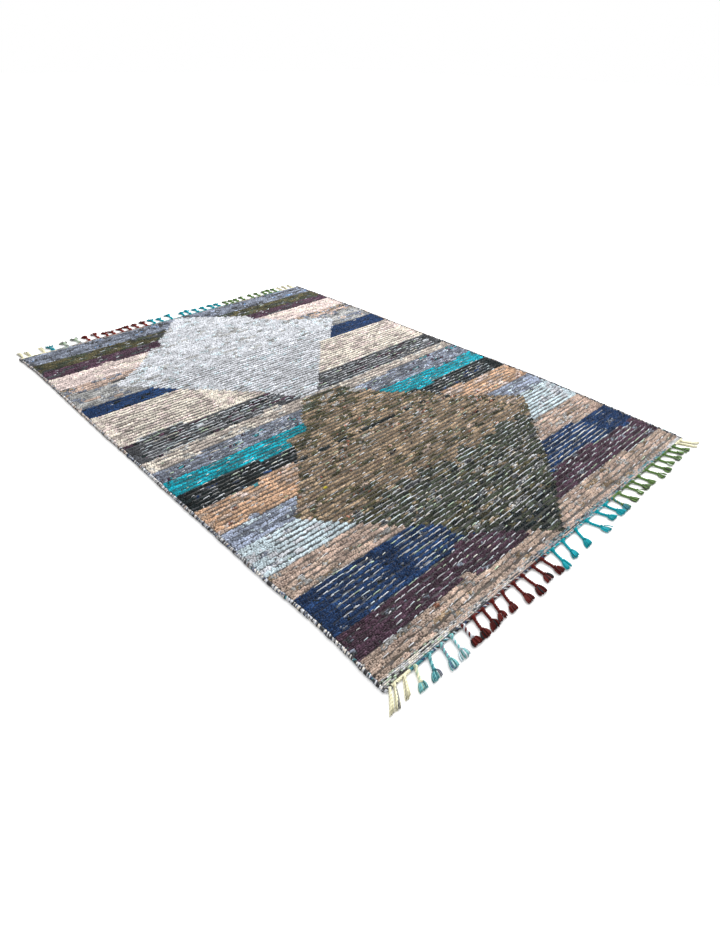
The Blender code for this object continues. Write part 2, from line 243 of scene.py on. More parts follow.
# Each bunch of tassels: where its roots and tips are across the rug, how far each reaches out, its
# girth, the two yarns of its stems, and the yarns of its tufts. A loose one's second knot is slim and
# lies hidden among its ends.
Bunch = namedtuple("Bunch", "roots tips reaches girth plies tuft loose", defaults=(False,))
BUNCHES = {
    "front": (
        Bunch((0.023, 0.041, 0.078), (-0.028, -0.006, 0.035), (0.053, 0.054, 0.050), 0.62,
              ("straw", "straw"), dict(straw=4, stone=1), True),
        Bunch((0.120,), (0.083,), (0.061,), 0.95, ("pale_green", "straw"),
              dict(sea_green=4, pale_green=3, faded_teal=1)),
        Bunch((0.175,), (0.135,), (0.064,), 0.95, ("sea_green", "faded_teal"),
              dict(sea_green=3, faded_teal=3, slate=2)),
        Bunch((0.223,), (0.195,), (0.074,), 0.95, ("slate", "sea_green"),
              dict(sea_green=4, faded_blue=1, ice=1)),
        Bunch((0.268,), (0.243,), (0.072,), 0.95, ("sea_green", "ice"),
              dict(sea_green=4, ice=2.4)),
        Bunch((0.320,), (0.305,), (0.068,), 1.0, ("dark_red", "pearl"), dict(dark_red=4, soot=0.8)),
        Bunch((0.368, 0.410, 0.458, 0.510, 0.566, 0.613, 0.672, 0.722),
              (0.343, 0.385, 0.428, 0.483, 0.545, 0.603, 0.668, 0.720),
              (0.070, 0.068, 0.063, 0.067, 0.079, 0.087, 0.070, 0.077), 1.0,
              ("dark_red", "dark_red"), dict(dark_red=6, soot=1.6)),
        Bunch((0.788, 0.853, 0.937, 1.004, 1.078, 1.137), (0.758, 0.818, 0.898, 1.030, 1.100, 1.152),
              (0.082, 0.072, 0.072, 0.081, 0.062, 0.070), 1.0, ("bright_teal", "bright_teal"),
              dict(bright_teal=6, turquoise=1.4, faded_teal=0.5)),
        Bunch((1.195,), (1.187,), (0.070,), 0.95, ("faded_teal", "leaf"), dict(faded_teal=3, leaf=2)),
        Bunch((1.243, 1.303, 1.351, 1.403, 1.466, 1.523, 1.580, 1.630, 1.674, 1.720),
              (1.262, 1.321, 1.364, 1.415, 1.485, 1.540, 1.597, 1.655, 1.705, 1.742),
              (0.068, 0.062, 0.062, 0.062, 0.071, 0.070, 0.056, 0.061, 0.050, 0.057), 0.95,
              ("leaf", "leaf"), dict(leaf=5, moss=1.4, pale_green=0.4)),
        Bunch((1.765, 1.790), (1.803, 1.838), (0.068, 0.062), 0.72, ("straw", "straw"),
              dict(straw=4, stone=1), True),
    ),
    "back": (
        Bunch((0.022, 0.062, 0.130), (0.024, 0.058, 0.135), (0.085, 0.080, 0.085), 0.72,
              ("straw", "straw"), dict(straw=4, stone=1), True),
        Bunch((0.178,), (0.176,), (0.066,), 1.15, ("turquoise", "faded_teal"),
              dict(turquoise=2, faded_teal=3)),
        Bunch((0.252, 0.322), (0.250, 0.318), (0.072, 0.088), 1.15, ("stone", "pale_green"),
              dict(stone=3, moss=2, pale_green=1.6)),
        Bunch((0.372, 0.424, 0.474, 0.516, 0.566, 0.612, 0.658, 0.709),
              (0.370, 0.430, 0.480, 0.516, 0.564, 0.610, 0.658, 0.713),
              (0.080, 0.088, 0.064, 0.060, 0.066, 0.074, 0.071, 0.077), 1.0,
              ("brick_red", "dark_red"), dict(dark_red=4, brick_red=1.4)),
        Bunch((0.762, 0.813, 0.872, 0.950, 0.998, 1.053, 1.105, 1.160, 1.205),
              (0.765, 0.813, 0.882, 0.965, 1.005, 1.053, 1.108, 1.163, 1.207),
              (0.080, 0.066, 0.090, 0.065, 0.077, 0.068, 0.066, 0.068, 0.063), 1.0,
              ("bright_teal", "turquoise"), dict(bright_teal=4, turquoise=3)),
        Bunch((1.264, 1.305, 1.344, 1.390, 1.458, 1.512, 1.560, 1.602, 1.644),
              (1.274, 1.310, 1.347, 1.398, 1.462, 1.516, 1.570, 1.612, 1.652),
              (0.065, 0.060, 0.060, 0.071, 0.068, 0.068, 0.066, 0.072, 0.066), 0.95,
              ("leaf", "leaf"), dict(leaf=5, moss=2)),
        Bunch((1.692, 1.735, 1.780), (1.696, 1.740, 1.784), (0.072, 0.074, 0.070), 0.80,
              ("straw", "straw"), dict(straw=4, stone=1), True),
    ),
}


# What a user may change.


def linear(*bytes_):
    """A colour as the eye reads it, 0 to 255 a channel, turned into the light it sends back."""
    shade = np.array(bytes_) / 255
    return tuple(np.where(shade <= 0.04045, shade / 12.92, ((shade + 0.055) / 1.055) ** 2.4).tolist())


def yarn(name, where, red, green, blue):
    """A yarn's colour as a property."""
    return FloatVectorProperty(name=name, description=where, subtype="COLOR", size=3, min=0, max=1,
                               default=linear(red, green, blue))


def length(name, what, default, low, high):
    """A length as a property, in metres."""
    return FloatProperty(name=name, description=what, unit="LENGTH", default=default, min=low, max=high,
                         precision=4)


class RugYarns(bpy.types.PropertyGroup):
    """The colour of each yarn in the rug."""

    navy: yarn("Navy", "The two navy bands and parts of the edges", 27, 54, 92)
    aubergine: yarn("Aubergine", "The two aubergine bands", 73, 52, 66)
    beige: yarn("Beige", "The front band", 176, 158, 145)
    rose_taupe: yarn("Rose taupe", "The brown-pink bands", 182, 162, 150)
    stone: yarn("Stone", "The grey-beige band, and flecks", 154, 154, 153)
    ice: yarn("Ice blue", "The pale blue band", 193, 206, 212)
    lilac: yarn("Lilac", "The blue-grey band", 147, 155, 172)
    peach: yarn("Peach", "The tan band", 186, 156, 131)
    ink: yarn("Ink green", "The black-green band", 20, 30, 32)
    turquoise: yarn("Turquoise", "The turquoise band and tassels", 17, 151, 167)
    slate: yarn("Slate", "The slate bands at the middle and the far end", 117, 123, 136)
    sand: yarn("Sand", "The narrow tan band", 173, 164, 157)
    charcoal: yarn("Charcoal", "The dark grey band", 72, 74, 78)
    cream: yarn("Cream", "The wide pale band", 215, 208, 197)
    pink: yarn("Pale pink", "The pale pink band", 206, 192, 188)
    olive: yarn("Olive", "The far green band and the front lozenge", 80, 76, 54)
    moss: yarn("Moss", "The dark green of the front lozenge", 62, 68, 55)
    umber: yarn("Umber", "The brown of the front lozenge", 145, 127, 106)
    pearl: yarn("Pearl", "The pale lozenge, and the weft that shows", 194, 196, 201)
    soot: yarn("Soot", "Black flecks and wraps", 34, 33, 36)
    rust: yarn("Rust", "Orange-brown flecks", 130, 88, 70)
    gold: yarn("Gold", "The few yellow flecks", 196, 180, 60)
    faded_blue: yarn("Faded blue", "Blue flecks", 96, 124, 158)
    faded_teal: yarn("Faded teal", "Teal flecks and tassels", 62, 128, 138)
    pale_green: yarn("Pale green", "The heading's green lines", 176, 196, 170)
    leaf: yarn("Leaf green", "The green tassels", 94, 124, 68)
    dark_red: yarn("Dark red", "The dark red tassels", 86, 17, 11)
    brick_red: yarn("Brick red", "The stems of the far red tassels", 138, 48, 36)
    bright_teal: yarn("Bright teal", "The turquoise tassels", 0, 148, 160)
    sea_green: yarn("Sea green", "The pale teal tassels", 118, 180, 182)
    straw: yarn("Straw", "The cream tassels at the corners", 236, 231, 198)


class RugSizes(bpy.types.PropertyGroup):
    """The sizes of the rug's yarns and knots."""

    knots_per_row: IntProperty(name="Knots in a row", default=300, min=40, max=320,
                               description="How many knots of pile each row has")
    pile_height: length("Pile height", "How high a knot stands off the floor", 0.0130, 0.008, 0.016)
    weft_height: length("Weft height", "How high the weft lies between two rows", 0.0060, 0.003, 0.01)
    float_height: length("Float height", "How high a loose weft rises between rows", 0.0100, 0.006, 0.013)
    float_girth: length("Float girth", "Half the thickness of a loose weft", 0.0018, 0.001, 0.004)
    wrap_pitch: length("Wrap pitch", "How far apart the selvedge's wraps are", 0.0045, 0.004, 0.012)
    tuft_strands: IntProperty(name="Strands in a tuft", default=22, min=6, max=30,
                              description="How many yarn ends each tassel's tuft has")


# The rug's own measures.


def smooth(at, places, values):
    """A curve through a table's values, each slope taken from its neighbours (a cubic Hermite spline)."""
    places, values = np.array(places), np.array(values)
    slopes = np.gradient(values, places)
    k = np.clip(np.searchsorted(places, at) - 1, 0, len(places) - 2)
    step = places[k + 1] - places[k]
    t = (at - places[k]) / step
    start = (2 * t**3 - 3 * t**2 + 1) * values[k] + (t**3 - 2 * t**2 + t) * step * slopes[k]
    end = (3 * t**2 - 2 * t**3) * values[k + 1] + (t**3 - t**2) * step * slopes[k + 1]
    return start + end


def outline(along, column):
    """One column of OUTLINE, read at any place along the rug."""
    places = [station.along for station in OUTLINE]
    return smooth(along, places, [getattr(station, column) for station in OUTLINE])


def row_line(along, share):
    """The place along the rug of a row that starts from `along`, at a share of the way across."""
    return along + outline(along, "row_lean") * (share - 0.5)


def across_field(along, share):
    """The place across the rug at a share of the field's width, which ends beside each selvedge."""
    inset = SELVEDGE_WIDTH + GAP
    left, right = outline(along, "left") + inset, outline(along, "right") - inset
    return left + (right - left) * share


def in_frame(across, along, height):
    """Points in the frame, from places in the rug's own measures."""
    across, along, height = np.broadcast_arrays(across, along, height)
    return np.stack([across - MIDDLE[0], along - MIDDLE[1], height], axis=-1)


def mottle(x, y, seed):
    """Smooth random numbers from 0 to 1: a repeating lattice of random numbers one unit apart, blended
    between its points by 3t^2 - 2t^3 both ways."""
    lattice = np.random.default_rng(seed).random((97, 89))
    x, y = np.broadcast_arrays(np.asarray(x, float), np.asarray(y, float))
    i, j = np.floor(x).astype(int), np.floor(y).astype(int)
    s, t = x - i, y - j
    s, t = s * s * (3 - 2 * s), t * t * (3 - 2 * t)
    near = lattice[i % 97, j % 89] * (1 - s) + lattice[(i + 1) % 97, j % 89] * s
    far = lattice[i % 97, (j + 1) % 89] * (1 - s) + lattice[(i + 1) % 97, (j + 1) % 89] * s
    return near * (1 - t) + far * t


# The chart, read knot by knot.


def yarn_colours(yarns):
    """The colours of a mixture's yarns and the running total of their shares, from 0 to 1."""
    group = bpy.context.scene.rug_yarns
    shares = np.cumsum(list(yarns.values()), dtype=float)
    return np.array([getattr(group, name)[:] for name in yarns]), shares / shares[-1]


def draw_yarn(yarns, chance):
    """A colour for each chance from 0 to 1: the first yarn whose running share passes it."""
    colours, shares = yarn_colours(yarns)
    return colours[np.minimum(np.searchsorted(shares, chance), len(shares) - 1)]


def by_stretch(stretches, place, chance):
    """The yarn at each place of a cord, heading or edge, as a colour: the stretch that it falls in."""
    colour = np.zeros(place.shape + (3,))
    left = np.ones(place.shape, bool)
    for limit, yarns in stretches:
        here = left & (place < limit)
        colour[here] = draw_yarn(yarns, chance[here])
        left &= ~here
    return colour


def even(values):
    """Each value's rank as a share of them all, so that the results spread evenly from 0 to 1."""
    flat = np.asarray(values).ravel()
    ranks = np.empty(len(flat))
    ranks[np.argsort(flat, kind="stable")] = np.arange(len(flat)) / len(flat)
    return ranks.reshape(np.shape(values))


def lozenge_holds(corners, across, row):
    """True where a place lies between a lozenge's two sides, which run straight from corner to corner."""
    rows, left, right = (np.array(column) for column in zip(*corners))
    inside = (row >= rows[0]) & (row <= rows[-1])
    return inside & (across >= np.interp(row, rows, left)) & (across <= np.interp(row, rows, right))


def chart_areas(across, row):
    """Each area of the chart in turn, with the knots in it: the band that their row falls in, and then
    the two lozenges over the bands."""
    share = across / CHART_WIDTH
    left = np.ones(across.shape, bool)
    for k, band in enumerate(BANDS):
        edge = band.left + (band.right - band.left) * share
        edge = edge + 0.9 * (mottle(across / 0.16, k, 5) - 0.5) * (band.left < ROW_COUNT)
        for step in STEPS:
            if step.band == band.name:
                edge = edge + step.rows * ((across > step.start) & (across < step.end))
        here = left & (row < edge)
        yield here, band
        left &= ~here
    ragged = 0.010 * (mottle(across / 0.02, row, 8) - 0.5)
    for corners, inner_bands in ((PALE_LOZENGE, PALE_BANDS), (OLIVE_LOZENGE, OLIVE_BANDS)):
        inside = lozenge_holds(corners, across + ragged, row)
        for inner in inner_bands:
            here = inside & (row < inner.limit + inner.ragged * (mottle(across / 0.05, row / 3, 9) - 0.5))
            yield here, inner
            inside &= ~here


def chart(across, row, chance):
    """The yarn of each knot, as a colour: its area's, and then the single flecks over all."""
    colour = np.zeros(across.shape + (3,))
    for here, area in chart_areas(across, row):
        colour[here] = draw_yarn(area.yarns, chance[here])
    for fleck_row, start, end, name in FLECKS:
        here = (np.floor(row) == fleck_row) & (across >= start) & (across <= end)
        colour[here] = draw_yarn({name: 1}, chance[here])
    return colour


def gaps(across, row):
    """How open the gaps between rows are, and the share of them that shows weft, each from 0 to 1: the
    area's own, in streaks that run along the rug, and shut beside the selvedges and in close patches."""
    opened, weft = np.zeros(across.shape), np.zeros(across.shape)
    for here, area in chart_areas(across, row):
        opened[here], weft[here] = area.open, area.weft
    streaks = mottle(across / 0.045, row / 30, 21) + 0.8 * mottle(across / 0.15, row / 9, 22) - 0.9
    close = np.clip(np.minimum(across - 0.045, 1.80 - across) / 0.02, 0, 1)
    for patch in CLOSE_PATCHES:
        inside = (row > patch.first) & (row < patch.last) & (across > patch.start) & (across < patch.end)
        close = np.where(inside, 0.15 * close, close)
    broken = 0.56 * (mottle(across / 0.020, 7.3 * row, 23) - 0.5)
    opened = np.clip(opened + 0.24 * streaks + broken, 0, 1) * close
    return opened, np.clip(weft * (1 + 0.5 * streaks), 0, 1) * close


# Meshes from whole arrays.


def new_piece(name, points, faces, look, slot, colours, domain="POINT", maps=None, smooth_faces=True):
    """A piece of the rug. faces is a list of whole arrays, one for each number of corners; colours has
    one colour a point or a face, as domain says; maps names UV maps, one place a corner."""
    mesh = bpy.data.meshes.new(name)
    points = np.array(points, np.float32).reshape(-1, 3)
    points[:, 2] = np.maximum(points[:, 2], 0)  # what lies on the floor is flat there
    corners = np.concatenate([f.ravel() for f in faces]).astype(np.int32)
    sizes = np.concatenate([np.full(len(f), f.shape[1]) for f in faces])
    mesh.vertices.add(len(points))
    mesh.vertices.foreach_set("co", points.ravel())
    mesh.loops.add(len(corners))
    mesh.loops.foreach_set("vertex_index", corners)
    mesh.polygons.add(len(sizes))
    mesh.polygons.foreach_set("loop_start", (np.cumsum(sizes) - sizes).astype(np.int32))
    mesh.polygons.foreach_set("use_smooth", np.full(len(sizes), smooth_faces))
    mesh.update(calc_edges=True)
    colours = np.asarray(colours, np.float32).reshape(-1, 3)
    shades = np.concatenate([colours, np.ones((len(colours), 1), np.float32)], axis=1)
    mesh.attributes.new("Yarn", "FLOAT_COLOR", domain).data.foreach_set("color", shades.ravel())
    for map_name, places in (maps or {}).items():
        layer = mesh.uv_layers.new(name=map_name)
        layer.data.foreach_set("uv", np.asarray(places, np.float32).ravel())
    mesh.materials.append(look)
    piece = bpy.data.objects.new(name, mesh)
    bpy.context.scene.collection.objects.link(piece)
    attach(piece, "root")
    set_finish(piece, slot)
    return piece


def grid_faces(rows, columns, start=0):
    """Quads between neighbours on a grid of points, numbered row by row from start."""
    first = start + (np.arange(rows - 1)[:, None] * columns + np.arange(columns - 1)).ravel()
    return np.stack([first, first + 1, first + columns + 1, first + columns], axis=1)


def tube_faces(count, stations, sides):
    """Quads round tubes that are all alike, and a cap at each end of each tube. Points are numbered
    tube by tube, station by station, and round each ring."""
    tube = np.arange(count)[:, None, None] * stations * sides
    ring = np.arange(stations - 1)[None, :, None] * sides
    side = np.arange(sides)[None, None, :]
    after = (side + 1) % sides
    first, second = tube + ring + side, tube + ring + after
    quads = np.stack([first, second, second + sides, first + sides], axis=-1).reshape(-1, 4)
    start = tube[:, 0] + np.arange(sides)[::-1]
    end = tube[:, 0] + (stations - 1) * sides + np.arange(sides)
    return [quads, np.concatenate([start, end])]


def tube_points(paths, radii, sides, flat=1.0):
    """Rings of points round paths: at each station the path's point plus the radius times the cosine
    of the turn to one side and the sine of it upwards, square to the path. Paths are (count, stations,
    3) and radii fit that; flat squashes the rings' height."""
    ahead = np.gradient(paths, axis=1)
    ahead /= np.linalg.norm(ahead, axis=-1, keepdims=True) + 1e-12
    up = np.zeros_like(ahead)
    up[..., 2] = 1
    steep = np.abs(ahead[..., 2:3]) > 0.9
    up = np.where(steep, [1.0, 0.0, 0.0], up)
    aside = np.cross(ahead, up)
    aside /= np.linalg.norm(aside, axis=-1, keepdims=True) + 1e-12
    top = np.cross(aside, ahead)
    turn = np.arange(sides) * 2 * np.pi / sides
    radii = np.broadcast_to(np.asarray(radii, float), paths.shape[:2])[..., None, None]
    ring = np.cos(turn)[:, None] * aside[..., None, :] + flat * np.sin(turn)[:, None] * top[..., None, :]
    return paths[..., None, :] + radii * ring


def tube_map(count, stations, sides, along):
    """A map for tubes, one place a corner in tube_faces' order: turns round the tube, and metres along
    it from `along`, which is (count, stations)."""
    along = np.broadcast_to(along, (count, stations))
    around, step = np.arange(sides) / sides, 1 / sides
    side, near, far = np.broadcast_arrays(around, along[:, :-1, None], along[:, 1:, None])
    quads = np.stack([
        np.stack([side, near], -1), np.stack([side + step, near], -1),
        np.stack([side + step, far], -1), np.stack([side, far], -1),
    ], axis=-2)
    start = np.stack(np.broadcast_arrays(around[::-1], along[:, :1]), -1)
    end = np.stack(np.broadcast_arrays(around, along[:, -1:]), -1)
    return np.concatenate([quads.reshape(-1, 2), start.reshape(-1, 2), end.reshape(-1, 2)])


def new_tubes(name, paths, radii, sides, look, slot, colours, run=None, flat=1.0):
    """A piece of yarns, each a tube round its path. paths is (count, stations, 3), and colours has one
    colour a station, or one a yarn as (count, 1, 3). run is how far along its yarn each station is: the
    sum of the steps between stations, where it isn't given."""
    count, stations = paths.shape[:2]
    if run is None:
        run = np.cumsum(np.linalg.norm(np.diff(paths, axis=1, prepend=paths[:, :1]), axis=-1), axis=1)
    colours = np.broadcast_to(colours, (count, stations, 3)).reshape(-1, 3)
    return new_piece(name, tube_points(paths, radii, sides, flat), tube_faces(count, stations, sides),
                     look, slot, np.repeat(colours, sides, axis=0),
                     maps={"Twist": tube_map(count, stations, sides, run)})


# Materials.


class Value:
    """A number or colour that varies over a surface. Arithmetic on it adds the Math nodes."""

    def __init__(self, look, socket):
        self.look, self.socket = look, socket

    def maths(self, operation, *inputs):
        return self.look.node("ShaderNodeMath", {"operation": operation}, dict(enumerate(inputs)))

    def __add__(self, other):
        return self.maths("ADD", self, other)

    def __sub__(self, other):
        return self.maths("SUBTRACT", self, other)

    def __rsub__(self, other):
        return self.maths("SUBTRACT", other, self)

    def __mul__(self, other):
        return self.maths("MULTIPLY", self, other)

    __radd__, __rmul__ = __add__, __mul__

    def wave(self):
        """The value's sine, moved to run from 0 to 1."""
        return self.maths("SINE", self) * 0.5 + 0.5


class Look:
    """A material, with a plain way to add nodes to it."""

    def __init__(self, name, roughness, sheen):
        self.material = bpy.data.materials.new(name)
        self.material.use_nodes = True
        self.tree = self.material.node_tree
        self.shader = self.tree.nodes["Principled BSDF"]
        self.shader.inputs["Sheen Weight"].default_value = sheen
        self.shader.inputs["Sheen Roughness"].default_value = 0.55
        self.shader.inputs["Specular IOR Level"].default_value = 0.22
        self.set("Roughness", roughness)

    def set(self, name, value):
        """Gives one of the shader's sockets a number or a varying value."""
        socket = self.shader.inputs[name]
        if isinstance(value, Value):
            self.tree.links.new(value.socket, socket)
        else:
            socket.default_value = value

    def node(self, kind, settings=None, inputs=None, output=0):
        """Adds a node, gives it its settings and then its inputs, and returns one of its outputs."""
        added = self.tree.nodes.new(kind)
        for name, value in (settings or {}).items():
            if name == "stops":
                for k, (place, shade) in enumerate(value):
                    ramp = added.color_ramp.elements
                    stop = ramp[k] if k < 2 else ramp.new(place)
                    stop.position, stop.color = place, (shade, shade, shade, 1)
            else:
                setattr(added, name, value)
        for name, value in (inputs or {}).items():
            if isinstance(value, Value):
                self.tree.links.new(value.socket, added.inputs[name])
            else:
                added.inputs[name].default_value = value
        return Value(self, added.outputs[output])

    def places(self, stretch=(1, 1, 1)):
        """The piece's own coordinates, in metres, stretched."""
        own = self.node("ShaderNodeTexCoord", output="Object")
        return self.node("ShaderNodeVectorMath", {"operation": "MULTIPLY"}, {0: own, 1: stretch})

    def own_colour(self):
        """The colour that each yarn or knot has of its own."""
        return self.node("ShaderNodeAttribute", {"attribute_name": "Yarn"}, output="Color")

    def part(self, places, axis):
        """One coordinate, "X", "Y" or "Z"."""
        return self.node("ShaderNodeSeparateXYZ", None, {0: places}, output=axis)

    def noise(self, places, scale, detail, rough=0.5):
        return self.node("ShaderNodeTexNoise", None, {
            "Vector": places, "Scale": scale, "Detail": detail, "Roughness": rough})

    def tint(self, colour, brightness):
        """A colour made brighter or darker by a varying number."""
        return self.node("ShaderNodeVectorMath", {"operation": "SCALE"}, {0: colour, "Scale": brightness})

    def bump(self, height, strength, distance):
        normal = self.node("ShaderNodeBump", None, {
            "Strength": strength, "Distance": distance, "Height": height}, output="Normal")
        self.set("Normal", normal)


def pile_look():
    """Cut wool ends: each end's own colour, paler and darker fibres of one to seven millimetres, painted
    shade that darkens each end towards its root, and a fine bump."""
    look = Look("Cut wool pile", 0.95, 0.08)
    colour = look.own_colour()
    own = look.places()
    fibres = look.noise(own, 850, 2.0, 0.65)
    tips = look.noise(own, 330, 1.0)
    tufts = look.noise(own, 125, 1.0)
    # painted shade: the lower the wool stands, the darker it is made, down to 0.14 at the base, as the shade
    # between ends and rows
    root = look.node("ShaderNodeMapRange", {"interpolation_type": "SMOOTHSTEP"}, {
        "Value": look.part(own, "Z"), "From Min": 0.0040, "From Max": 0.0095, "To Min": 0.14, "To Max": 1.0})
    plain = look.node("ShaderNodeRGBToBW", None, {"Color": colour})
    pale = plain * 2.0 - 0.58
    contrast = 1.0 - pale.maths("MAXIMUM", pale, 0.0)
    shade = root * (1.17 + contrast * (fibres + tips * 1.35 + tufts * 0.3 - 1.27))
    look.set("Base Color", look.tint(colour, shade))
    look.bump(fibres * 0.5 + tips * 0.5, 0.7, 0.0018)
    return look.material


def ground_look():
    """Plain weave in mixed yarn: each weft's colour, rounded wefts, and warps that pass over them, with
    painted shade in the grooves between the wefts and between the warps.
    """
    look = Look("Woven ground", 0.95, 0.15)
    colour = look.own_colour()
    own = look.places()
    weft_pitch, warp_pitch = 0.0034, 0.0047
    wefts = (look.part(own, "Y") * (2 * np.pi / weft_pitch)).wave()
    warps = (look.part(own, "X") * (2 * np.pi / warp_pitch)).wave()
    fibres = look.noise(look.places((1, 2.5, 1)), 700, 2.0, 0.6)
    # painted shade: the weft and warp waves darken the grooves between the rounded wefts and between the
    # warps
    shade = 0.50 + 0.30 * wefts + 0.14 * warps + 0.38 * fibres
    look.set("Base Color", look.tint(colour, shade))
    look.bump(wefts * 0.6 + warps * 0.25 + fibres * 0.3, 0.6, 0.0015)
    return look.material


def spun_look(name, roughness, sheen, twist):
    """Spun yarn: each strand's colour, with two plies that turn round it as they run along and painted shade
    in the grooves between them, read from the map "Twist" of turns round and metres along. twist is the
    length of one turn."""
    plies = 2
    look = Look(name, roughness, sheen)
    colour = look.own_colour()
    own = look.places()
    turn = look.node("ShaderNodeUVMap", {"uv_map": "Twist"}, output="UV")
    ply = ((look.part(turn, "X") * plies + look.part(turn, "Y") * (1 / twist)) * (2 * np.pi)).wave()
    fibres = look.noise(own, 1100, 2.0, 0.6)
    soft = look.noise(own, 220, 1.0)
    # painted shade: the ply wave darkens the grooves between the two plies
    look.set("Base Color", look.tint(colour, 0.50 + 0.24 * ply + 0.46 * fibres + 0.16 * soft))
    look.bump(ply * 0.7 + fibres * 0.4, 0.6, 0.0009)
    return look.material


# The pieces.


def drawn_by_row(across, row, seed):
    """A chance for each knot: mostly the same over a run of knots in its row, as one length of yarn
    is knotted, and partly each knot's own."""
    rng = np.random.default_rng(seed)
    run = 0.050  # how far across one length of yarn goes
    runs = mottle(across / run + 7.3 * row, row * 3, seed + 1)
    return even(0.90 * runs + 0.10 * rng.random(across.shape))


def make_pile(sizes):
    """Two cut yarn ends a knot, in three staggered lines to a row: its front, crown and back. Each end
    is a small four-sided peak, whose base corners are its place plus its splayed half width and half
    depth times the cosine and sine of the turn, with every point moved a little at random. A row's lines
    draw together as the gap beside it opens, and its crown stands highest."""
    rng = np.random.default_rng(31)
    ends = 2 * sizes.knots_per_row  # two cut ends a knot
    row, k = np.meshgrid(np.arange(ROW_COUNT), np.arange(ends), indexing="ij")
    line = k % 3 - 1
    share = (k + 0.5 + 1.6 * (rng.random(row.shape) - 0.5)) / ends
    start = PILE_START + (row + 0.5) * ROW_PITCH
    across = across_field(start, np.clip(share, 0.001, 0.999))
    opened, _ = gaps(across, row + 0.5)
    deep = ROW_PITCH / 2 * (1.05 - 0.52 * opened)
    half_depth = 0.0032 + 0.0026 * rng.random(row.shape)
    wander = 0.0036 * (mottle(share * 26, row * 3, 41) - 0.5)
    wander = wander + 0.0040 * (mottle(share * 85, row * 3, 42) - 0.5)
    along = row_line(start, share) + wander + 0.0026 * (rng.random(row.shape) - 0.5)
    mean_half_depth, over_heading = 0.0042, 0.0055  # the first row leans out over the heading
    along = along + line * (deep - mean_half_depth) - over_heading * (row == 0)
    chance = drawn_by_row(across, row, 51)
    stray = rng.random(row.shape) < 0.04  # one end in 25 has a yarn of its own
    chance = np.where(stray, rng.random(row.shape), chance)
    colour = chart(across, row + 0.5, chance)
    strength = 1.15 - 1.7 * np.maximum(colour @ BRIGHTNESS - 0.25, 0)
    strength = strength * (0.75 + 0.4 * opened)
    speckle = 0.15 * rng.normal(size=row.shape) + 0.9 * (mottle(across / 0.045, row * 3, 61) - 0.5)
    speckle = speckle + 0.6 * (mottle(across / 0.011, 5.3 * row + 1.7 * line, 63) - 0.5)
    colour = colour * np.exp(strength * speckle)[..., None]

    half_width = 0.0050 + 0.0085 * rng.random(row.shape) ** 2
    turn = (np.arange(4) / 4 + 0.125 + 0.20 * (rng.random(row.shape)[..., None] - 0.5)) * 2 * np.pi
    tip = rng.random((3,) + row.shape) - 0.5
    below_crown, worn, splay = np.where(line == 0, 0.0002, 0.0012), 0.0036, 1.3
    top = sizes.pile_height - below_crown - worn * (tip[2] + 0.5) ** 2
    x = across[..., None] + half_width[..., None] * splay * np.cos(turn)
    y = along[..., None] + half_depth[..., None] * splay * np.sin(turn)
    z = 0.0030 + 0.0020 * rng.random(row.shape + (4,))
    base = np.stack([x, y, z], axis=-1)
    peak = np.stack([across + half_width * tip[0], along + 0.0034 * tip[1], top], axis=-1)
    points = np.concatenate([base, peak[..., None, :]], axis=-2)
    points = in_frame(points[..., 0], points[..., 1], points[..., 2])

    look = pile_look()
    for number, rows in enumerate(np.array_split(np.arange(ROW_COUNT), PILE_PIECES), 1):
        count = len(rows) * ends
        colours = np.repeat(colour[rows].reshape(-1, 3), END_POINTS, axis=0)
        new_piece(f"pile_rows_{number}", points[rows], end_faces(count), look, "pile_wool", colours,
                  maps={"OFBake": end_cells(count)}, smooth_faces=False)


def end_faces(ends):
    """The faces of cut ends of five points each: four base corners anticlockwise from above, and then
    the tip. Each has an underside and four slopes."""
    first = np.arange(ends)[:, None, None] * END_POINTS
    under = first[:, 0] + np.array([3, 2, 1, 0])
    slopes = first + np.array([(0, 1, 4), (1, 2, 4), (2, 3, 4), (3, 0, 4)])
    return [under, slopes.reshape(-1, 3)]


def end_cells(ends):
    """The bake's map for cut ends: a square cell each, with the peak as seen from above in it and the
    hidden underside in a corner."""
    cells = int(np.ceil(np.sqrt(ends)))
    corner = np.stack(divmod(np.arange(ends), cells), axis=1)[:, None, None]
    spots = np.array([(0.03, 0.03), (0.93, 0.03), (0.93, 0.93), (0.03, 0.93), (0.48, 0.48)])
    under = 0.955 + 0.03 * spots[[3, 2, 1, 0]][None]
    slopes = np.stack([spots[[0, 1, 4]], spots[[1, 2, 4]], spots[[2, 3, 4]], spots[[3, 0, 4]]])
    return np.concatenate([(corner + part).reshape(-1, 2) for part in (under, slopes)]) / cells


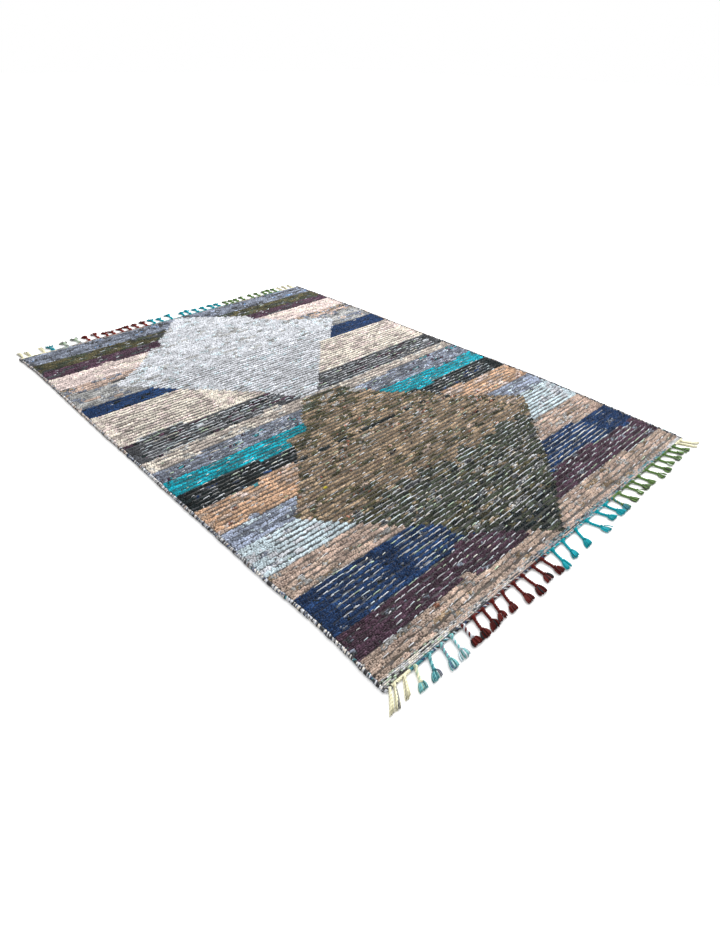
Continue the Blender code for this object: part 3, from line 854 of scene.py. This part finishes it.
def make_ground(sizes):
    """The woven ground as one thin closed sheet: a grid of points across and along, whose upper side
    rises to a rounded weft between rows and sinks under each row of knots, and whose underside shows
    the knots' backs. The flat-woven heading has five ribs at the front end and three at the back."""
    columns, front_ribs, back_ribs = 121, 5, 3
    rib_top, groove, under_knots = 0.0062, 0.0042, 0.0036
    front = np.linspace(FIELD_START, PILE_START, 2 * front_ribs + 1)[:-1]
    rows = PILE_START + np.arange(2 * ROW_COUNT + 1) * ROW_PITCH / 2
    back = np.linspace(PILE_END, FIELD_END, 2 * back_ribs + 1)[1:]
    along = np.concatenate([front, rows, back])
    high = np.concatenate([
        np.where(np.arange(len(front)) % 2, rib_top, groove),
        np.where(np.arange(len(rows)) % 2, under_knots, sizes.weft_height),
        np.where(np.arange(len(back)) % 2, groove, rib_top),
    ])
    low = np.where(np.arange(len(along)) % 2, 0.0, 0.0006)
    share = np.linspace(0, 1, columns)[None, :]
    line = np.broadcast_to(along[:, None], (len(along), columns))
    x = across_field(line, share)
    y = row_line(line, share)
    lift = 0.0008 * (mottle(share * 50, line / 0.02, 81) - 0.5)
    upper = in_frame(x, y, high[:, None] + lift)
    under = in_frame(x, y, low[:, None])
    points = np.concatenate([upper.reshape(-1, 3), under.reshape(-1, 3)])
    lines = len(along)
    size = lines * columns
    top_faces = grid_faces(lines, columns)
    under_faces = grid_faces(lines, columns, size)[:, ::-1]
    ring = np.concatenate([
        np.arange(columns), np.arange(1, lines) * columns + columns - 1,
        (lines - 1) * columns + np.arange(columns - 1)[::-1], np.arange(1, lines - 1)[::-1] * columns])
    after = np.roll(ring, -1)
    wall = np.stack([after, ring, ring + size, after + size], axis=1)

    middle = (along[:-1] + along[1:]) / 2
    row = ((middle - PILE_START) / ROW_PITCH)[:, None]
    across = (x[:-1, :-1] + x[1:, 1:]) / 2
    row = np.broadcast_to(row, across.shape)
    heading = (row < 0) | (row > ROW_COUNT)
    knot_row = np.clip(row, 0.2, ROW_COUNT - 0.2)
    painted_weft_shade, heading_shade, painted_underside_shade, wall_shade = 0.38, 0.8, 0.72, 0.35
    weft = np.round(row).astype(int)
    rib = np.round(np.broadcast_to((middle / 0.0042)[:, None], across.shape))
    chance = even(0.6 * mottle(across / 0.12, weft * 3, 91) + 0.4 * mottle(across / 0.03, weft * 5, 92))
    # painted shade: the weft that shows between rows is darkened to 0.38, as if shaded by the rows of pile
    above = draw_yarn(WEFT_YARNS, chance) * painted_weft_shade
    lines_chance = even(mottle(across / 0.30, rib * 3, 95) + 0.25 * mottle(across / 0.04, rib * 5, 96))
    above[heading] = by_stretch(HEADING_STRETCHES, across, lines_chance)[heading] * heading_shade
    knots = chart(across, knot_row, drawn_by_row(across, np.floor(row), 97))
    shown = (np.arange(len(middle)) + len(front)) % 2 == 0
    patchy = np.random.default_rng(93).random(across.shape) < 0.35
    # painted shade: where the pile hides the weft, the ground takes the knots' colour darkened by root (more
    # for pale yarns, in blotches), as the shade between rows
    hidden = 1 - (gaps(across, row)[1] * np.where(patchy, 0.45, 0.05))[..., None]
    root = 0.36 - 0.45 * (knots @ BRIGHTNESS)[..., None]
    root = root * (0.40 + 0.9 * mottle(across / 0.022, row * 4, 99))[..., None]
    above = np.where(heading[..., None], above, above * (1 - hidden) + knots * root * hidden)
    backs = chart(across, knot_row, 0.62 * drawn_by_row(across, weft, 97))
    # painted shade: between the knots' backs the underside is a darker copy of their colour, 0.72 of it
    below = np.where(shown[:, None, None], backs, painted_underside_shade * backs)
    below[heading] = above[heading]
    edge = np.full((len(wall), 3), wall_shade)
    colours = np.concatenate([above.reshape(-1, 3), below.reshape(-1, 3), edge])
    ground = new_piece("woven_ground", points, [np.concatenate([top_faces, under_faces, wall])],
                       ground_look(), "pile_wool", colours, "FACE")
    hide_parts("rug_field")


def make_heading(end):
    """The thick wefts of one flat heading, laid side by side. Each is a tube on a path across the rug,
    whose height is a slow mean plus a small sine, half a wave on from its neighbour's, as it passes
    over and under the warps."""
    start, stop = (FIELD_START, PILE_START) if end == "front" else (PILE_END, FIELD_END)
    pitch, warps_apart, thick = 0.0044, 0.0105, 0.0022
    count = int(round((stop - start) / pitch))
    inner = count - 1 if end == "front" else 0
    stations, sides = 380, 5
    k = np.arange(count)[:, None]
    share = np.broadcast_to(np.linspace(0.002, 0.998, stations), (count, stations))
    line = np.broadcast_to(start + (k + 0.5) * (stop - start) / count, share.shape)
    across = across_field(line, share)
    wander = 0.0011 * (mottle(across / 0.03, k * 5, 101) - 0.5)
    over = 0.0008 * np.sin(np.pi * (across / warps_apart + k))
    height = 0.0052 + over + 0.0016 * mottle(across / 0.025, k * 5, 103)
    paths = in_frame(across, row_line(line, share) + wander, height)
    girth = thick * (0.85 + 0.4 * mottle(across / 0.014, k * 5, 105))
    chance = even(mottle(across / 0.06, k * 5, 107) + 0.7 * mottle(across / 0.011, k * 5, 108))
    ticks = 0.55 + 0.45 * np.clip(3 * np.sin(2 * np.pi * (across / warps_apart + k / 2)) + 1, 0, 1)
    dim = ticks * (0.95 + 0.5 * mottle(across / 0.006, k * 7, 109)) * np.where(k == inner, 0.7, 1)
    colour = by_stretch(HEADING_STRETCHES, across, chance) * dim[..., None]
    new_tubes(f"heading_wefts_{end}", paths, girth, sides, bpy.data.materials["Weft yarn"], "pile_wool",
              colour, across)


def make_floats(sizes):
    """The wefts that show between rows: lengths of thick yarn that rise out of the ground and dive
    back in, longer where more weft shows. Each is a tube round a path of four stations, the outer two
    in the ground and the inner two at the float's height."""
    rng = np.random.default_rng(33)
    cells = 92  # places for a float in each gap
    gap, k = np.meshgrid(np.arange(1, ROW_COUNT), np.arange(cells), indexing="ij")
    share = (k + rng.random(gap.shape)) / cells
    start = PILE_START + gap * ROW_PITCH
    across = across_field(start, share)
    shows = gaps(across, gap.astype(float))[1]
    here = rng.random(gap.shape) < shows**1.1
    gap, share, start, across, shows = gap[here], share[here], start[here], across[here], shows[here]
    count, sides = len(gap), 4
    half = (0.005 + (0.011 + 0.024 * shows**4) * rng.random(count)) / 1.8
    step = np.array([-1.0, -0.6, 0.6, 1.0])
    stations = len(step)
    shares = np.clip(share[:, None] + half[:, None] * step, 0.022, 0.978)
    along = row_line(start[:, None], shares) + 0.0022 * (rng.random((count, stations)) - 0.5)
    along = along + 0.0050 * (rng.random((count, 1)) - 0.5) + 0.0008 * step
    x = across_field(np.broadcast_to(start[:, None], shares.shape), shares)
    rise = np.array([0.0, 1.0, 1.0, 0.0])
    base = sizes.weft_height - 0.0035
    crest = sizes.float_height - sizes.float_girth + 0.0028 * (rng.random((count, 1)) - 0.5)
    z = base + (crest - base) * rise + 0.0014 * (rng.random((count, stations)) - 0.5)
    girth = sizes.float_girth * (0.6 + 0.5 * rng.random((count, 1))) * (0.6 + 0.42 * rise)
    paths = in_frame(x, along, z)
    chance = even(0.5 * mottle(across / 0.10, gap * 3, 98) + 0.5 * rng.random(count))
    colour = draw_yarn(WEFT_YARNS, chance) * (0.65 + 0.85 * rng.random(count))[:, None]
    colour = np.minimum(colour, 0.9)
    new_tubes("weft_floats", paths, girth, sides, spun_look("Weft yarn", 0.9, 0.2, 0.006), "pile_wool",
              colour[:, None])


def make_selvedges(sizes):
    """Yarn wound over each edge: one tube on a helix round an oval core. At each station the path is
    the edge's middle, plus half the width times the cosine of the turn across and half the height
    times its sine upwards, and it moves on by one pitch a turn."""
    rng = np.random.default_rng(35)
    per_turn, sides, girth = 7, 4, 0.0024
    turns = int(RUG_LENGTH / sizes.wrap_pitch)
    t = np.linspace(0, turns, turns * per_turn + 1)
    look = spun_look("Overcast edge yarn", 0.92, 0.2, 0.010)
    for side in ("left", "right"):
        along = 0.004 + (RUG_LENGTH - 0.008) * t / turns
        swell = 1 + 0.60 * (mottle(along / 0.016, len(side), 37) - 0.5)
        for place in (1.01, 1.43):  # the edge yarn is heaped beside the two darkest bands
            swell = swell + 0.16 * np.exp(-((along - place) / 0.035) ** 2)
        sign = 1 if side == "left" else -1
        middle = outline(along, side) + sign * SELVEDGE_WIDTH / 2
        turn = 2 * np.pi * t
        x = middle + swell * (SELVEDGE_WIDTH / 2 - girth * 0.8) * np.cos(turn)
        z = SELVEDGE_HEIGHT / 2 + 0.0003 + swell * (SELVEDGE_HEIGHT / 2 - girth * 0.8) * np.sin(turn)
        z = np.maximum(z, girth * 0.86)
        share = 0.0 if side == "left" else 1.0
        slant = 0.0036 * np.cos(turn) * (0.6 + 0.8 * mottle(along / 0.03, 0, 38))
        y = row_line(along, share) + slant + 0.0016 * (mottle(along / 0.004, 0, 39) - 0.5)
        y = np.clip(y, 0.003, RUG_LENGTH - 0.003)
        paths = in_frame(x, y, z)[None]
        wide = girth * (0.72 + 0.56 * mottle(along / 0.009, 3 * len(side), 43))
        wrap = np.floor(t + 0.25)
        chance = even(0.3 * mottle(wrap / 2.2, len(side), 45)
                      + 0.8 * rng.random(turns + 2)[wrap.astype(int)] + 0.2 * rng.random(len(t)))
        chance = chance * np.where(along < 0.03, 0.6, 1.0)
        colour = by_stretch(SELVEDGE_STRETCHES, along, chance) * (0.80 + 0.5 * rng.random((len(t), 1)))
        piece = new_tubes(f"overcast_{side}", paths, wide, sides, look, "selvedge_wool", colour)
        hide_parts(f"selvedge_{side}")


def cord_place(end, share, inward, height):
    """A place by the end cord: a share of the way across, and metres in from the cord's outer side
    (outside it where inward is negative)."""
    edge, outward = (0.0, 1) if end == "front" else (RUG_LENGTH, -1)
    woven = np.maximum(inward, 0.0)
    line = edge + outward * woven
    y = row_line(line, share) + outward * (inward - woven)
    left, right = outline(edge, "left"), outline(edge, "right")
    return in_frame(left + (right - left) * share, y, height)


def make_end_cord(end):
    """The twined cord at one end: three yarns on helices round one line, a third of a turn apart."""
    stations, sides, plies = 470, 5, 3
    cord_length, pitch, reach, girth = 1.82, 0.019, 0.0020, 0.0024
    share = np.linspace(0.004, 0.996, stations)
    across = share * cord_length
    k = np.arange(plies)[:, None]
    turn = 2 * np.pi * (across / pitch + k / plies)
    inward = END_CORD_WIDTH / 2 + reach * np.cos(turn)
    height = np.maximum(reach * np.sin(turn) + 0.0043, girth * 0.95)
    paths = cord_place(end, np.broadcast_to(share, inward.shape), inward, height)
    if end == "back":
        paths = paths[:, ::-1]
    places = paths[..., 0] + MIDDLE[0]
    chance = even(mottle(places / 0.035, k * 5, 47) + 0.3 * mottle(places / 0.008, k * 3, 48))
    colour = by_stretch(CORD_STRETCHES[end], places, chance)
    return new_tubes(f"end_cord_{end}", paths, girth, sides,
                     spun_look(f"Twined cord yarn {end}", 0.95, 0.05, 0.008), "fringe_yarn", colour)


def make_tassels(end, strands):
    """The tassels of one end. Each has a knot over the cord, a stem of two yarns twisted round each
    other, a second knot, and a round tuft whose ends spread from it. All run along one line from the
    root to the tip. A knot is a turned barrel with three ridges; a tuft's end leaves the knot at its own
    angle and settles on the floor. A loose tassel's ends start at the cord and hide its stem."""
    rng = np.random.default_rng(len(end))
    tied = [(root, tip, reach, bunch) for bunch in BUNCHES[end]
            for root, tip, reach in zip(bunch.roots, bunch.tips, bunch.reaches)]
    roots, tips, reach = (np.array(column) for column in list(zip(*tied))[:3])
    girth, loose = (np.array([getattr(bunch, name) for *_, bunch in tied]) for name in ("girth", "loose"))
    count = len(tied)
    edge = 0.0 if end == "front" else RUG_LENGTH
    left, right = outline(edge, "left"), outline(edge, "right")

    def line(s, aside, height):
        """Points beside the tassels' lines: s runs from 0 at the root to 1 at the tip."""
        shape = np.broadcast_shapes(np.shape(s), np.shape(aside), np.shape(height))
        extra = (slice(None),) + (None,) * (len(shape) - 1)
        start, tip, out = roots[extra], tips[extra], reach[extra]
        bow = 0.003 * np.sin(np.pi * np.asarray(s)) * bowed[extra]
        across = start + (tip - start) * s + bow + aside
        share = (across - left) / (right - left)
        inward = TASSEL_ROOT - (TASSEL_ROOT + out) * s
        return cord_place(end, share, inward, np.broadcast_to(height, shape))

    def new_yarns(part, s, aside, height, radii, sides, colours, flat=1.0):
        """A piece of yarns on the tassels' lines, where s is (tassels, yarns, stations) or fits that."""
        paths = line(s, aside, height)
        run = np.broadcast_to(s * reach[:, None, None], paths.shape[:3])
        new_tubes(f"tassel_{part}_{end}", paths.reshape(-1, *paths.shape[2:]), radii, sides, look,
                  "fringe_yarn", colours, run.reshape(-1, paths.shape[2]), flat)

    bowed = rng.random(count) * 2 - 1
    look = spun_look(f"Tassel yarn {end}", 0.95, 0.03, 0.007)

    stations, sides = 18, 5
    s = np.linspace(0.03, 0.66, stations)[None, None, :]
    g = girth[:, None, None]
    k = np.arange(2)[None, :, None]
    turn = 2 * np.pi * (s * reach[:, None, None] / 0.015 + k / 2 + rng.random(count)[:, None, None])
    lift = 0.0060 * np.exp(-((s - 0.03) / 0.10) ** 2)
    aside = 0.0026 * g * np.cos(turn)
    height = 0.0022 * g * np.sin(turn) + 0.0054 * g + lift
    wide = 0.0033 * (1 + 0.35 * np.exp(-(s[0] / 0.12) ** 2)) * np.repeat(girth, 2)[:, None]
    pair = np.array([yarn_colours({name: 1})[0][0] for *_, bunch in tied for name in bunch.plies])
    shade = 0.82 + 0.36 * rng.random((count * 2, stations, 1))
    new_yarns("stems", s, aside, height, wide, sides, pair[:, None] * shade)

    stations, sides, flat = 9, 8, 0.92
    s = np.linspace(-1, 1, stations)
    ridged = np.sqrt(np.clip(1.02 - s**2, 0.05, 1)) * (1 + 0.09 * np.cos(3 * np.pi * s))
    # The knot on the cord and the tuft's: the middle and half the length of each as shares of the
    # reach, half its width, and its height off the floor.
    knots = np.array([(0.05, 0.080, 0.0070, 0.0072), (0.635, 0.055, 0.0072, 0.0066)])
    middle, half, girths, raised = knots.T[:, None, :, None]
    wide = girths * ridged * g
    wide[loose, 1] *= 0.55
    height = np.maximum(raised * g, wide * flat)
    colours = pair * (0.75 + 0.3 * rng.random((count * 2, 1)))
    new_yarns("knots", middle + half * s, 0.0, height, wide.reshape(-1, stations), sides, colours[:, None],
              flat)

    stations, sides = 5, 3
    s = np.linspace(0, 1, stations)[None, None, :]
    angle = (2 * np.pi * rng.random((count, strands)))[..., None]
    far = np.sqrt(rng.random((count, strands)))[..., None]
    short = (0.84 + 0.16 * rng.random((count, strands)))[..., None]
    first = np.where(loose, 0.06, 0.67)[:, None, None]
    where = first + (1 - first) * s * short
    narrow = np.where(loose, 0.0078, 0.0040)[:, None, None]
    spread = np.where(loose, 0.0095, 0.0160)[:, None, None]
    flare = narrow + spread * np.where(loose[:, None, None], s, np.sin(np.pi * (0.13 + 0.47 * s)) ** 0.8)
    aside = g * flare * far * np.cos(angle)
    height = g * (0.0062 - 0.0016 * s + (0.0040 + 0.0008 * s) * far * np.sin(angle))
    height = np.maximum(height, 0.0020 * g)
    thick = 0.0020 * np.repeat(girth, strands)[:, None] * np.array([1.0, 1.1, 1.2, 1.2, 1.0])
    tuft = np.concatenate([draw_yarn(bunch.tuft, rng.random(strands)) for *_, bunch in tied])
    tuft = tuft * (0.62 + 0.55 * rng.random((count * strands, 1)))
    new_yarns("tufts", where, aside, height, thick, sides, tuft[:, None])


def make_stage():
    """A plain pale floor, soft light from above and both sides, and the camera at the photo's angle."""
    mesh = bpy.data.meshes.new("floor")
    half_side, floor_height = 40.0, -0.0002
    corners = np.array([(-1, -1), (1, -1), (1, 1), (-1, 1)]) * half_side
    mesh.from_pydata(np.c_[corners, np.full(4, floor_height)].tolist(), [], [(0, 1, 2, 3)])
    floor = bpy.data.objects.new("floor", mesh)
    bpy.context.scene.collection.objects.link(floor)
    paint = Look("Pale floor", 0.9, 0.0)
    paint.set("Base Color", paint.node("ShaderNodeValToRGB", {"stops": ((0.3, 0.894), (0.7, 0.906))}, {
        "Fac": paint.noise(paint.places(), 0.6, 1.0)}))
    mesh.materials.append(paint.material)
    floor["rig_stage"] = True

    scene = bpy.context.scene
    scene.view_settings.view_transform = "Standard"
    world = bpy.data.worlds.new("Studio")
    world.use_nodes = True
    world.node_tree.nodes["Background"].inputs["Color"].default_value = (1, 1, 1, 1)
    world.node_tree.nodes["Background"].inputs["Strength"].default_value = 1.0
    scene.world = world
    sun = bpy.data.lights.new("high sun", "SUN")
    sun.energy, sun.angle = 0.85, 0.6
    sun_object = bpy.data.objects.new("high sun", sun)
    sun_from = Vector((0.5, 0.9, 1.6))
    sun_object.rotation_euler = (-sun_from).to_track_quat("-Z", "Y").to_euler()
    scene.collection.objects.link(sun_object)
    lamp = bpy.data.lights.new("side light", "AREA")
    lamp.size, lamp.energy = 2.4, 270
    lamp_object = bpy.data.objects.new("side light", lamp)
    lamp_object.location = (3.4, 0.6, 2.4)
    lamp_object.rotation_euler = (-Vector(lamp_object.location)).to_track_quat("-Z", "Y").to_euler()
    scene.collection.objects.link(lamp_object)

    camera = bpy.data.cameras.new("camera")
    camera.lens = 23.5
    camera.sensor_width = 36
    camera.clip_start = 0.01
    holder = bpy.data.objects.new("camera", camera)
    right = Vector((0.729, -0.684, 0.017)).normalized()
    back = Vector((-0.572, -0.597, 0.563))
    back = (back - right * back.dot(right)).normalized()
    up = back.cross(right)
    turned = Matrix((right, up, back)).transposed().to_4x4()
    camera_place = (-1.6175, -1.9598, 1.3476)
    holder.matrix_world = Matrix.Translation(camera_place) @ turned
    scene.collection.objects.link(holder)
    scene.camera = holder


# The add-on.


class RUG_OT_ground(bpy.types.Operator):
    """Weave the ground, from one end cord to the other"""

    bl_idname = "rug.make_ground"
    bl_label = "Weave the ground"

    def execute(self, context):
        make_ground(context.scene.rug_sizes)
        return {"FINISHED"}


class RUG_OT_pile(bpy.types.Operator):
    """Knot the rows of pile by the weaver's chart"""

    bl_idname = "rug.make_pile"
    bl_label = "Knot the pile"

    def execute(self, context):
        make_pile(context.scene.rug_sizes)
        return {"FINISHED"}


class RUG_OT_floats(bpy.types.Operator):
    """Lay the wefts that show between the rows"""

    bl_idname = "rug.make_floats"
    bl_label = "Lay the wefts"

    def execute(self, context):
        make_floats(context.scene.rug_sizes)
        return {"FINISHED"}


class RUG_OT_selvedges(bpy.types.Operator):
    """Wind the yarn over both side edges"""

    bl_idname = "rug.make_selvedges"
    bl_label = "Overcast the edges"

    def execute(self, context):
        make_selvedges(context.scene.rug_sizes)
        return {"FINISHED"}


class RUG_OT_fringes(bpy.types.Operator):
    """Lay the headings' thick wefts, twine the end cords and tie the tassels on them"""

    bl_idname = "rug.make_fringes"
    bl_label = "Make the fringes"

    def execute(self, context):
        for end in ("front", "back"):
            make_heading(end)
            cord = make_end_cord(end)
            make_tassels(end, context.scene.rug_sizes.tuft_strands)
            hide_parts(f"fringe_{end}")
        return {"FINISHED"}


class RUG_OT_stage(bpy.types.Operator):
    """Set the floor, the lights and the camera"""

    bl_idname = "rug.make_stage"
    bl_label = "Set the stage"

    def execute(self, context):
        make_stage()
        return {"FINISHED"}


OPERATORS = (RUG_OT_ground, RUG_OT_pile, RUG_OT_floats, RUG_OT_selvedges, RUG_OT_fringes, RUG_OT_stage)


class RUG_PT_panel(bpy.types.Panel):
    """The rug's yarns, sizes and pieces"""

    bl_idname = "RUG_PT_panel"
    bl_label = "Knotted pile rug"
    bl_space_type = "VIEW_3D"
    bl_region_type = "UI"
    bl_category = "Rug"

    def draw(self, context):
        scene = context.scene
        for group in (scene.rug_sizes, scene.rug_yarns):
            box = self.layout.box()
            for name in group.__annotations__:
                box.prop(group, name)
        for operator in OPERATORS:
            self.layout.operator(operator.bl_idname)


CLASSES = (RugYarns, RugSizes, *OPERATORS, RUG_PT_panel)


def register():
    for cls in CLASSES:
        bpy.utils.register_class(cls)
    bpy.types.Scene.rug_yarns = PointerProperty(type=RugYarns)
    bpy.types.Scene.rug_sizes = PointerProperty(type=RugSizes)


def unregister():
    del bpy.types.Scene.rug_sizes
    del bpy.types.Scene.rug_yarns
    for cls in reversed(CLASSES):
        bpy.utils.unregister_class(cls)


def declare_cloth():
    """Finds the woven ground and the rug's other pieces; nothing more is done with them."""
    ground = bpy.data.objects["woven_ground"]
    others = [o for o in ground.parent.children if o.type == "MESH" and o != ground and "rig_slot" in o]


def main():
    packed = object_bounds()
    register()
    bpy.ops.rug.make_ground()
    bpy.ops.rug.make_pile()
    bpy.ops.rug.make_floats()
    bpy.ops.rug.make_selvedges()
    bpy.ops.rug.make_fringes()
    bpy.ops.rug.make_stage()
    declare_cloth()
    boxes = {"packed": packed, "dressed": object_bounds()}
    {k: [[float(c) for c in corner] for corner in box] for k, box in boxes.items()}


if __name__ == "__main__":
    main()
